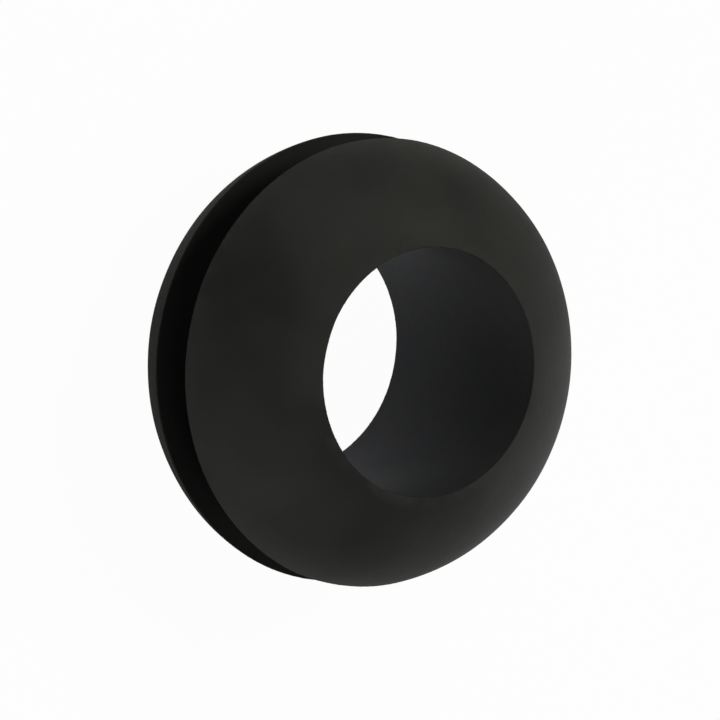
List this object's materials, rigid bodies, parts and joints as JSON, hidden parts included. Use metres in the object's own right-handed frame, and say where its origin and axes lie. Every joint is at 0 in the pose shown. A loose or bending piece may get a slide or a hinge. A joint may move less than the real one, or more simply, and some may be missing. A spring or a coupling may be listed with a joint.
{
  "type": "rubber grommet",
  "caption": "Moulded black rubber grommet: a ring with a straight bore for a cable, two crowned flanges and a groove between them that grips the edge of a hole in a panel.",
  "frame": {"origin": "middle of the bore, on its axis and halfway between the two lips, which is also the middle of the panel groove", "axes": "+Z along the bore axis; the part is round about it and the same either way up, so X and Y are any two directions across it"},
  "size_m": [0.018, 0.018, 0.01],
  "materials": {
    "black_rubber": "smooth satin moulded rubber"
  },
  "bodies": {
    "root": {"grommet": "black_rubber"}
  },
  "joints": []
}
